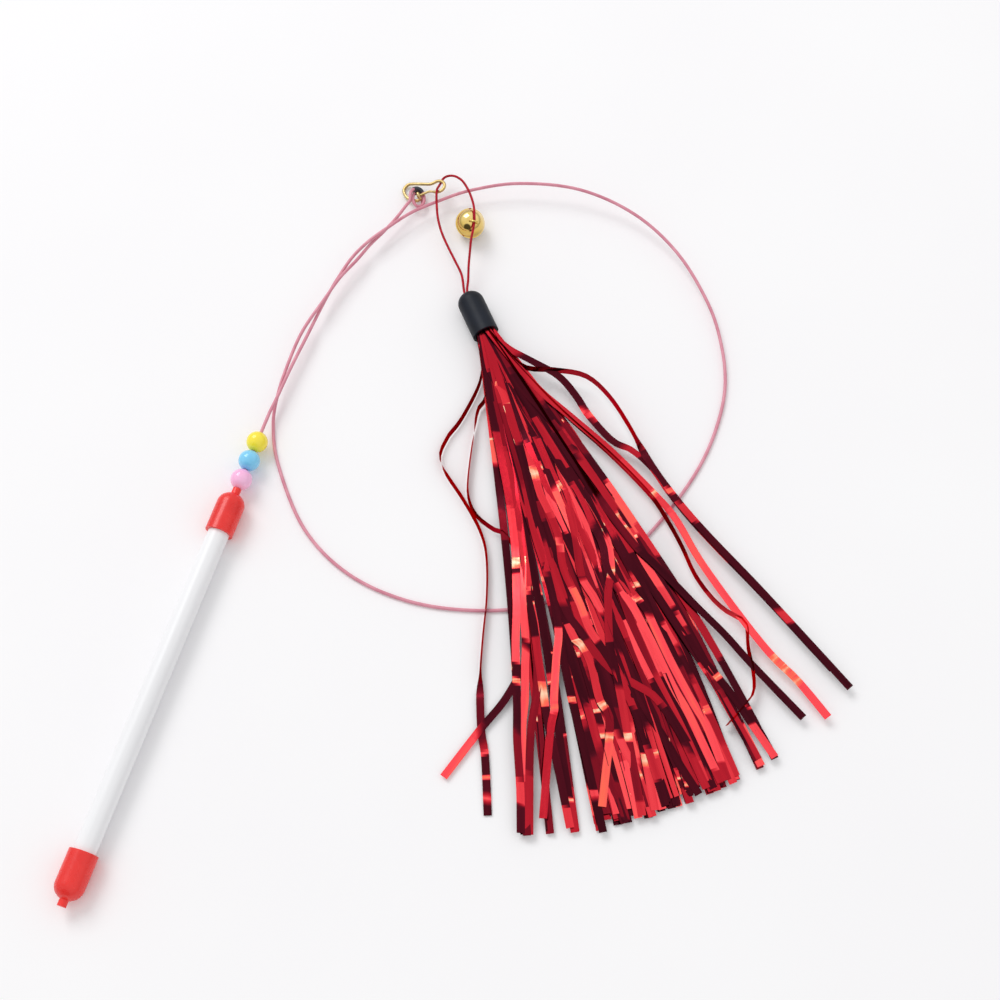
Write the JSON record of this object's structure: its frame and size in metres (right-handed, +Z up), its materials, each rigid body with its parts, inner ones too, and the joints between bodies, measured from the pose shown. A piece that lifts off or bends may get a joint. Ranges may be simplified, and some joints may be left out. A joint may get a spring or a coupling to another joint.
{
  "type": "cat teaser wand",
  "caption": "Capped tube wand with a coated wire lead, three beads, a wire snap, a jingle bell and a foil tinsel tassel for cat play",
  "frame": {"origin": "On the handle's axis, at the rim of the butt cap", "axes": "+Y along the handle towards the wire end, +Z up from the surface that the wand lies on, +X to the right of the handle, where the tassel lies"},
  "size_m": [0.2964, 0.4026, 0.016],
  "materials": {
    "tube_white": "semi-gloss white plastic",
    "cap_red": "satin soft vinyl",
    "plug_grey": "plain",
    "stop_steel": "crimped",
    "wire_pink": "satin plastic coat over wire rope",
    "ferrule_dark": "dark crimped sleeve",
    "bead_pink": "glossy",
    "bead_blue": "glossy",
    "bead_yellow": "glossy",
    "snap_brass": "bright pale brass wire",
    "cap_black": "satin soft vinyl",
    "cord_red": "smooth waxed cord",
    "band_steel": "plain band",
    "tinsel_red": "mirror-bright metallised film",
    "bell_gold": "polished gold plating",
    "pellet_steel": "plain"
  },
  "bodies": {
    "handle": {"handle_tube": "tube_white", "butt_cap": "cap_red", "wire_end_cap": "cap_red", "wire_plug": "plug_grey", "wire_stop": "stop_steel", "wire_shank": "wire_pink", "lead_wire": "wire_pink", "wire_eye": "wire_pink", "eye_ferrule": "ferrule_dark"},
    "pink_bead": {"bead_pink": "bead_pink"},
    "blue_bead": {"bead_blue": "bead_blue"},
    "yellow_bead": {"bead_yellow": "bead_yellow"},
    "snap": {"snap_frame": "snap_brass"},
    "arm": {"snap_arm": "snap_brass"},
    "tassel": {"tassel_cap": "cap_black", "cord_loop": "cord_red", "cord_knot": "cord_red", "tinsel_band": "band_steel", "tinsel_left_strays": "tinsel_red", "tinsel_fan_1": "tinsel_red", "tinsel_fan_2": "tinsel_red", "tinsel_fan_3": "tinsel_red", "tinsel_fan_4": "tinsel_red", "tinsel_fan_5": "tinsel_red", "tinsel_fan_6": "tinsel_red", "tinsel_right_strays": "tinsel_red"},
    "bell": {"bell_crown": "bell_gold", "bell_skirt": "bell_gold", "bell_staple": "bell_gold"},
    "pellet": {"bell_pellet": "pellet_steel"}
  },
  "joints": [
    {"name": "pink_bead_slide", "type": "slide", "parent": "handle", "child": "pink_bead", "axis": [0, 1, 0], "range_m": [0, 0.003]},
    {"name": "blue_bead_slide", "type": "slide", "parent": "pink_bead", "child": "blue_bead", "axis": [0, 1, 0], "range_m": [0, 0.003]},
    {"name": "yellow_bead_slide", "type": "slide", "parent": "blue_bead", "child": "yellow_bead", "axis": [0, 1, 0], "range_m": [0, 0.003]},
    {"name": "snap_swivel", "type": "hinge", "parent": "handle", "child": "snap", "pos_m": [0.027, 0.3526, 0], "axis": [0, 0, 1], "range_deg": [-6, 6]},
    {"name": "arm_spring", "type": "hinge", "parent": "snap", "child": "arm", "pos_m": [0.0333, 0.3572, 0.0001], "axis": [-0.3379, -0.051, 0.9398], "range_deg": [-8, 0], "stiffness_Nm_per_rad": 0.02},
    {"name": "tassel_swing", "type": "hinge", "parent": "snap", "child": "tassel", "pos_m": [0.0359, 0.3605, 0.0012], "axis": [0, 0, 1], "range_deg": [-8, 10]},
    {"name": "bell_swing", "type": "hinge", "parent": "tassel", "child": "bell", "pos_m": [0.0609, 0.3415, 0.0074], "axis": [0.2052, -0.9787, 0], "range_deg": [-12, 25]},
    {"name": "pellet_rattle", "type": "slide", "parent": "bell", "child": "pellet", "axis": [0, 0, 1], "range_m": [0, 0.008]}
  ]
}
